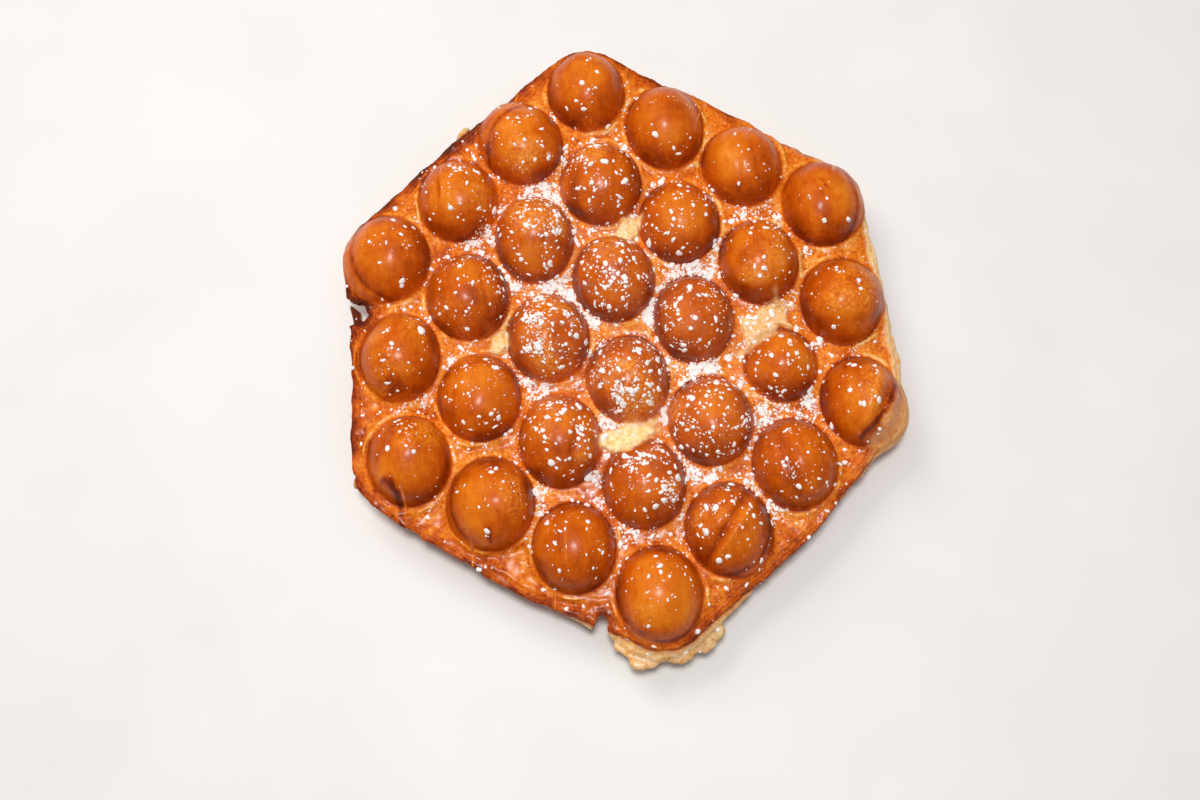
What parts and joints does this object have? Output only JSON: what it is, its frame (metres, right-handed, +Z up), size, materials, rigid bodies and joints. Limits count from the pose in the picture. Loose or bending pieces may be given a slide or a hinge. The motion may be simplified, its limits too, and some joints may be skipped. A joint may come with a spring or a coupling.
{
  "type": "bubble waffle",
  "caption": "Six-sided bubble waffle of egg-shaped puffs on a thin layered crust, topped with sugar clumps.",
  "frame": {"origin": "middle of the bounding box, at the table surface under the lowest bubbles", "axes": "+Y along the long axis of the eggs and the longest side of the waffle, +Z up out of the sugared face, +X to the right of the picture"},
  "size_m": [0.1801, 0.2132, 0.0278],
  "materials": {
    "crust": "golden-brown baked batter with a thin syrup glaze, semi-gloss",
    "sugar": "white powdered sugar in small clumps and grains, matt",
    "syrup": "thin threads of amber syrup, glossy"
  },
  "bodies": {
    "root": {"waffle": "crust"}
  },
  "joints": []
}
